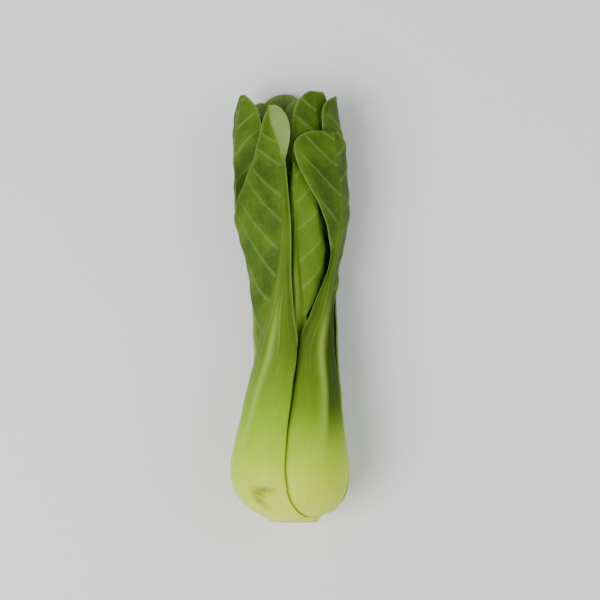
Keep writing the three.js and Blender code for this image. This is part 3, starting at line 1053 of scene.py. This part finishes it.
@dataclass
class HeartPiece:
    """The youngest leaves, folded together in the middle of the head."""

    bunch: Bunch
    rings: int = 120
    segments: int = 120
    clearance: float = 0.4
    easing: int = 4
    folds: float = 2.5
    fold_depth: float = 0.13
    twist: float = 0.03
    youth: float = 0.8
    reach: Profile = Profile((12, 2), (22, 8.5), (40, 11.5), (90, 12), (112, 9.5), (130, 5), (138, 0.8))

    def build(self, material: bpy.types.Material) -> bpy.types.Object:
        """Build the heart in rings, as wide as the leaves round it allow.

        Args:
            material: The leaf finish's material.

        Returns:
            The heart.
        """
        station = np.linspace(self.reach.x[0], self.reach.x[-1], self.rings)[:, None]
        angle = np.linspace(0, 2 * math.pi, self.segments, endpoint=False)[None, :]
        s, theta = np.broadcast_arrays(station, angle)
        widest = np.minimum(self.bunch.room(theta, s) - self.clearance, self.reach(s))
        near = range(-self.easing, self.easing + 1)
        narrow = np.min([np.roll(widest, step, axis=1) for step in near], axis=0)
        even = np.mean([np.roll(narrow, step, axis=1) for step in near], axis=0)
        fold = np.abs(np.sin(self.folds * theta + self.twist * s)) ** 0.4
        radius = np.maximum(0.3, even) * (1 - self.fold_depth * (1 - fold))
        marks = {
            "station": s,
            "width": radius * (theta - math.pi),
            "youth": self.youth,
            "green": smoothstep(s, 40, 95),
            "margin": (1 - fold) * smoothstep(s, 40, 70),
            "fibre": 3 * theta,
        }
        skin = Skin("heart_leaves", "young_blade", material)
        return skin.around(self.bunch.place(radius, theta, s), marks)


class Signal:
    """A value in a node graph, for writing shader maths as Python expressions."""

    def __init__(self, graph: "Graph", socket: bpy.types.NodeSocket) -> None:
        """Wrap an output socket.

        Args:
            graph: The graph that it belongs to.
            socket: The socket.
        """
        self.graph = graph
        self.socket = socket

    def _maths(self, operation: str, first: "Operand", second: "Operand") -> "Signal":
        """One Math node on two operands."""
        return self.graph.node("ShaderNodeMath", {"operation": operation}, {0: first, 1: second})

    def __add__(self, other: "Operand") -> "Signal":
        """Add."""
        return self._maths("ADD", self, other)

    def __radd__(self, other: "Operand") -> "Signal":
        """Add to a number."""
        return self._maths("ADD", other, self)

    def __sub__(self, other: "Operand") -> "Signal":
        """Subtract."""
        return self._maths("SUBTRACT", self, other)

    def __rsub__(self, other: "Operand") -> "Signal":
        """Subtract from a number."""
        return self._maths("SUBTRACT", other, self)

    def __mul__(self, other: "Operand") -> "Signal":
        """Multiply."""
        return self._maths("MULTIPLY", self, other)

    def __rmul__(self, other: "Operand") -> "Signal":
        """Multiply a number."""
        return self._maths("MULTIPLY", other, self)


Operand = Union[Signal, float, Colour]


class Graph:
    """A material's node tree, with its Principled shader."""

    def __init__(self, name: str) -> None:
        """Make the material.

        Args:
            name: The material's name.
        """
        self.material = bpy.data.materials.new(name)
        self.material.use_nodes = True
        self.tree = self.material.node_tree
        self.shader = self.tree.nodes["Principled BSDF"]

    def node(
        self,
        kind: str,
        settings: dict[str, object],
        values: dict[Union[str, int], Operand],
        output: Union[str, int] = 0,
    ) -> Signal:
        """Add a node.

        Args:
            kind: The node's type.
            settings: Its own settings, set first. One named stops is a colour ramp's places and colours.
            values: The values or links of its input sockets, by name or number.
            output: The output that is returned.

        Returns:
            That output.
        """
        made = self.tree.nodes.new(kind)
        for setting, value in settings.items():
            if setting == "stops":
                self._set_stops(made.color_ramp, value)
            else:
                setattr(made, setting, value)
        for key, value in values.items():
            self._feed(made.inputs[key], value)
        return Signal(self, made.outputs[output])

    def _set_stops(self, ramp: bpy.types.ColorRamp, stops: list[tuple[float, Colour]]) -> None:
        """Set a colour ramp's stops."""
        while len(ramp.elements) < len(stops):
            ramp.elements.new(0.5)
        for element, (place, colour) in zip(ramp.elements, stops):
            element.position = place
            element.color = (*colour, 1)

    def _feed(self, socket: bpy.types.NodeSocket, value: Operand) -> None:
        """Set or link an input socket."""
        if isinstance(value, Signal):
            self.tree.links.new(value.socket, socket)
        elif isinstance(value, tuple) and socket.type == "RGBA":
            socket.default_value = (*value, 1)
        else:
            socket.default_value = value

    def mark(self, name: str) -> Signal:
        """A value that the mesh carries at its points."""
        return self.node("ShaderNodeAttribute", {"attribute_name": name}, {}, "Fac")

    def blend(self, share: Operand, first: Operand, second: Operand) -> Signal:
        """A colour that lies a share of the way from the first to the second."""
        return self.node(
            "ShaderNodeMix", {"data_type": "RGBA", "clamp_factor": True}, {0: share, 6: first, 7: second}, 2
        )

    def ease(self, value: Operand, low: float, high: float, start: float = 0.0, end: float = 1.0) -> Signal:
        """A value that rises smoothly from start to end while the input goes from low to high."""
        return self.node(
            "ShaderNodeMapRange",
            {"interpolation_type": "SMOOTHSTEP"},
            {"Value": value, "From Min": low, "From Max": high, "To Min": start, "To Max": end},
        )

    def place(self, x: Operand, y: Operand, z: Operand) -> Signal:
        """A point for a texture, from three values."""
        return self.node("ShaderNodeCombineXYZ", {}, {0: x, 1: y, 2: z})

    def noise(self, at: Signal, scale: float, detail: float = 3.0, rough: float = 0.5) -> Signal:
        """Soft noise from 0 to 1."""
        values = {"Vector": at, "Scale": scale, "Detail": detail, "Roughness": rough}
        return self.node("ShaderNodeTexNoise", {}, values, "Fac")

    def surface(self, **values: Operand) -> bpy.types.Material:
        """Feed the shader and return the material, with each socket's name in words joined by underscores."""
        for name, value in values.items():
            self._feed(self.shader.inputs[name.replace("_", " ")], value)
        return self.material


@dataclass(frozen=True)
class LeafFinish:
    """The finish of stalks and blades alike, which a leaf's marks turn from one into the other."""

    name: str
    stalk_base: Colour = (0.740, 0.790, 0.070)
    stalk_low: Colour = (0.440, 0.660, 0.014)
    stalk_middle: Colour = (0.195, 0.345, 0.010)
    stalk_top: Colour = (0.100, 0.165, 0.008)
    blade_dark: Colour = (0.038, 0.085, 0.004)
    blade_mid: Colour = (0.088, 0.170, 0.007)
    blade_young: Colour = (0.120, 0.215, 0.011)
    vein: Colour = (0.270, 0.400, 0.090)
    margin: Colour = (0.240, 0.360, 0.080)
    underside: Colour = (0.270, 0.370, 0.110)
    # painted highlight: the pale line along the stalk's ridge; the same colour also pales the crease and folded
    # margin of the front blade
    keel: Colour = (0.440, 0.620, 0.090)
    # painted shade: the dark green that stands in for shade on the right front stalk and the far left blade
    flank: Colour = (0.014, 0.040, 0.001)
    rubbed: Colour = (0.120, 0.120, 0.004)
    cut: Colour = (0.560, 0.480, 0.210)
    roughness: float = 0.36
    subsurface: float = 0.12
    underside_share: float = 0.6
    net_share: float = 0.08
    vein_share: float = 0.32
    margin_share: float = 0.7
    painted_shade_share: float = 0.8
    keel_share: float = 0.45
    cut_share: float = 0.8
    ramp_height: float = 110.0

    def build(self) -> bpy.types.Material:
        """Build the material.

        Returns:
            The material.
        """
        g = Graph(self.name)
        station, width, youth = g.mark("station"), g.mark("width"), g.mark("youth")
        lengthwise = g.place(g.mark("fibre") * 0.55, station * 0.018, youth * 9.0)
        all_over = g.place(width * 0.1, station * 0.1, youth * 5.0)
        streaks = g.noise(lengthwise, 1.0, 4.0, 0.6)
        clouds = g.noise(all_over, 0.8, 3.0)
        specks = g.noise(all_over, 14.0, 2.0)
        stalk = self._stalk_colour(g, station, streaks, clouds)
        blade = self._blade_colour(g, youth, clouds, specks)
        net = self._net(g, width, station)
        blade = g.blend(g.mark("inside") * self.underside_share, blade, self.underside)
        blade = g.blend(net * self.net_share, blade, self.vein)
        blade = g.blend(g.mark("vein") * self.vein_share, blade, self.vein)
        blade = g.blend(g.mark("margin") * self.margin_share, blade, self.margin)
        # painted shade: stalk and blade turn towards that dark green where the shade mark is set
        stalk = g.blend(g.mark("flank") * g.ease(streaks, 0.2, 0.7, 1.0, 0.72), stalk, self.flank)
        blade = g.blend(g.mark("flank") * self.painted_shade_share, blade, self.flank)
        colour = g.blend(g.mark("green"), stalk, blade)
        # painted highlight along the stalk's ridge; on the front blade, the pale crease and folded margin
        colour = g.blend(g.mark("keel") * self.keel_share, colour, self.keel)
        colour = g.blend(g.mark("bruise") * g.ease(specks, 0.3, 0.62, 0.45, 0.9), colour, self.rubbed)
        colour = g.blend(g.mark("cut") * self.cut_share, colour, self.cut)
        waxy = self.roughness + 0.12 * streaks + g.mark("green") * (0.14 + 0.1 * specks)
        # rougher where shade is painted, to damp the sheen there
        waxy = waxy + 0.3 * g.mark("flank")
        lines = g.noise(g.place(g.mark("fibre") * 3.2, station * 0.12, youth), 1.0, 2.0)
        height = 0.35 * lines * (1 - g.mark("green")) + 0.5 * net * g.mark("green") + 0.12 * specks
        normal = g.node("ShaderNodeBump", {}, {"Strength": 0.35, "Distance": 0.0003, "Height": height})
        g.shader.inputs["Subsurface Radius"].default_value = (0.6, 1.0, 0.2)
        return g.surface(
            Base_Color=colour,
            Roughness=waxy,
            Normal=normal,
            IOR=1.42,
            Specular_IOR_Level=0.16,
            Subsurface_Weight=self.subsurface,
            Subsurface_Scale=0.0022,
        )

    def _stalk_colour(self, g: Graph, station: Signal, streaks: Signal, clouds: Signal) -> Signal:
        """The stalk's colour, from its pale base up, with lengthwise streaks."""
        height = station * (1 / self.ramp_height)
        wander = height + 0.1 * (clouds - 0.5) + 0.16 * (streaks - 0.5)
        colours = (self.stalk_base, self.stalk_low, self.stalk_middle, self.stalk_top)
        stops = list(zip((0.0, 0.22, 0.45, 0.66), colours))
        colour = g.node("ShaderNodeValToRGB", {"stops": stops}, {0: wander}, "Color")
        pale = g.ease(streaks, 0.5, 0.72, 0.0, 0.34)
        return g.blend(pale, colour, self.stalk_low)

    def _blade_colour(self, g: Graph, youth: Signal, clouds: Signal, specks: Signal) -> Signal:
        """The blade's colour, dark on old leaves and light on young ones, with cloudy patches."""
        old = g.blend(g.ease(clouds, 0.3, 0.75), self.blade_dark, self.blade_mid)
        old = g.blend(g.ease(specks, 0.5, 0.8, 0.0, 0.3), old, self.blade_mid)
        return g.blend(youth, old, self.blade_young)

    def _net(self, g: Graph, width: Signal, station: Signal) -> Signal:
        """The fine net of veinlets between the side veins, from 0 to 1."""
        at = g.place(width * 0.55, station * 0.55, 0.0)
        apart = g.node(
            "ShaderNodeTexVoronoi", {"feature": "DISTANCE_TO_EDGE"}, {"Vector": at, "Scale": 1.0}, "Distance"
        )
        return 1 - g.ease(apart, 0.0, 0.11)


@dataclass(frozen=True)
class StemFinish:
    """The finish of the stem: the stalks' skin on its sides, and fibrous, dried flesh where it is cut."""

    skin: Colour = LeafFinish.stalk_base
    green: Colour = LeafFinish.stalk_low
    flesh: Colour = (0.740, 0.740, 0.360)
    core: Colour = (0.800, 0.800, 0.480)
    strand: Colour = (0.430, 0.470, 0.120)
    dried: Colour = (0.480, 0.340, 0.120)
    strands: float = 26.0

    def build(self) -> bpy.types.Material:
        """Build the material.

        Returns:
            The material.
        """
        g = Graph("stem_flesh")
        at = g.node("ShaderNodeTexCoord", {}, {}, "Object")
        ring, turned, cut = g.mark("ring"), g.mark("turned"), g.mark("cut")
        fibres = g.noise(at, 1400.0, 3.0, 0.6)
        patches = g.noise(at, 170.0, 3.0)
        skin = g.blend(g.ease(g.mark("station"), 1.0, 9.0), self.skin, self.green)
        flesh = g.blend(g.ease(ring, 0.3, 0.62), self.core, self.flesh)
        wave = g.node("ShaderNodeMath", {"operation": "SINE"}, {0: turned * (2 * math.pi * self.strands)})
        band = g.ease(ring, 0.56, 0.68) * g.ease(ring, 0.74, 0.86, 1.0, 0.0)
        flesh = g.blend(band * g.ease(wave + patches, 0.4, 1.4, 0.15, 0.8), flesh, self.strand)
        flesh = g.blend(g.ease(fibres, 0.45, 0.75, 0.0, 0.4), flesh, self.strand)
        dry = g.ease(patches, 0.4, 0.7, 0.0, 0.55) + g.ease(ring, 0.82, 1.0, 0.0, 0.45)
        flesh = g.blend(dry, flesh, self.dried)
        height = fibres + 0.6 * band * wave
        normal = g.node("ShaderNodeBump", {}, {"Strength": 0.5, "Distance": 0.0003, "Height": height * cut})
        return g.surface(
            Base_Color=g.blend(cut, skin, flesh),
            Roughness=0.45 + 0.2 * patches,
            Normal=normal,
            Specular_IOR_Level=0.24,
        )


@dataclass(frozen=True)
class FloorFinish:
    """The plain pale floor."""

    colour: Colour = (0.910, 0.910, 0.905)
    shade: Colour = (0.890, 0.890, 0.885)

    def build(self) -> bpy.types.Material:
        """Build the material.

        Returns:
            The material.
        """
        g = Graph("pale_floor")
        at = g.node("ShaderNodeTexCoord", {}, {}, "Object")
        colour = g.blend(g.noise(at, 6.0), self.colour, self.shade)
        return g.surface(Base_Color=colour, Roughness=0.6)


@dataclass
class Studio:
    """The camera, the floor and the lights."""

    bunch: Bunch
    pixel: float = 0.00042
    frame_pixels: int = 600
    base_pixel: tuple[float, float] = (291.0, 521.0)
    distance: float = 0.9
    elevation: float = 87.0
    sensor: float = 36.0
    aim_height: float = 0.024
    floor_size: float = 3.0
    sky_colour: Colour = (0.93, 0.96, 1.0)

    def camera(self) -> bpy.types.Object:
        """Place the camera over the head, so that its base falls on its place in the picture.

        Returns:
            The camera.
        """
        base_x, base_y, _ = self.bunch.origin
        middle = self.frame_pixels / 2
        aim_x = base_x + (middle - self.base_pixel[0]) * self.pixel
        aim_y = base_y + (self.base_pixel[1] - middle) * self.pixel
        data = bpy.data.cameras.new("camera")
        data.sensor_width = self.sensor
        data.lens = self.sensor * self.distance / (self.frame_pixels * self.pixel)
        data.clip_start = 0.01
        made = add_object("camera", data)
        tilt = math.radians(90 - self.elevation)
        made.location = (
            aim_x,
            aim_y - self.distance * math.sin(tilt),
            self.aim_height + self.distance * math.cos(tilt),
        )
        made.rotation_euler = (tilt, 0, 0)
        bpy.context.scene.camera = made
        return made

    def floor(self, finish: FloorFinish) -> bpy.types.Object:
        """Lay the floor.

        Args:
            finish: Its finish.

        Returns:
            The floor.
        """
        half = self.floor_size / 2
        mesh = bpy.data.meshes.new("floor")
        corners = [(-half, -half, 0), (half, -half, 0), (half, half, 0), (-half, half, 0)]
        mesh.from_pydata(corners, [], [(0, 1, 2, 3)])
        mesh.materials.append(finish.build())
        made = add_object("floor", mesh)
        return made

    def light(self, name: str, size: float, power: float, at: tuple[float, float, float]) -> bpy.types.Object:
        """Hang a soft light that faces the head.

        Args:
            name: Its name.
            size: Its width in metres.
            power: Its power in watts.
            at: Its place.

        Returns:
            The light.
        """
        data = bpy.data.lights.new(name, "AREA")
        data.shape = "DISK"
        data.size = size
        data.energy = power
        made = add_object(name, data)
        made.location = at
        flat = math.hypot(at[0], at[1])
        made.rotation_euler = (math.atan2(flat, at[2]), 0, math.atan2(at[0], -at[1]))
        return made

    def sky(self, strength: float) -> None:
        """Fill the world with pale light of the given strength."""
        world = bpy.data.worlds.new("pale_room")
        world.use_nodes = True
        background = world.node_tree.nodes["Background"]
        background.inputs["Color"].default_value = (*self.sky_colour, 1)
        background.inputs["Strength"].default_value = strength
        bpy.context.scene.world = world


def main() -> None:
    """Build the scene, and report each piece."""
    logging.basicConfig(level=logging.INFO, format="%(name)s %(message)s")
    bunch = Bunch(HeadForm())
    studio = Studio(bunch)
    studio.camera()
    studio.floor(FloorFinish())
    studio.light("window_left", 0.8, 13.0, (-0.6, -0.3, 0.9))
    studio.light("fill_right", 0.9, 4.5, (0.8, 0.0, 0.9))
    studio.sky(0.5)
    StemPiece(bunch).build(StemFinish().build())
    leaf_material = LeafFinish("leaf").build()
    HeartPiece(bunch).build(leaf_material)
    for leaf in bunch.leaves:
        detail = Detail.FRONT if leaf.index < FINE_LEAVES else Detail.BACK
        pieces = LeafPieces(bunch, leaf, detail, leaf_material)
        pieces.stalk()
        pieces.blade()


if __name__ == "__main__":
    main()
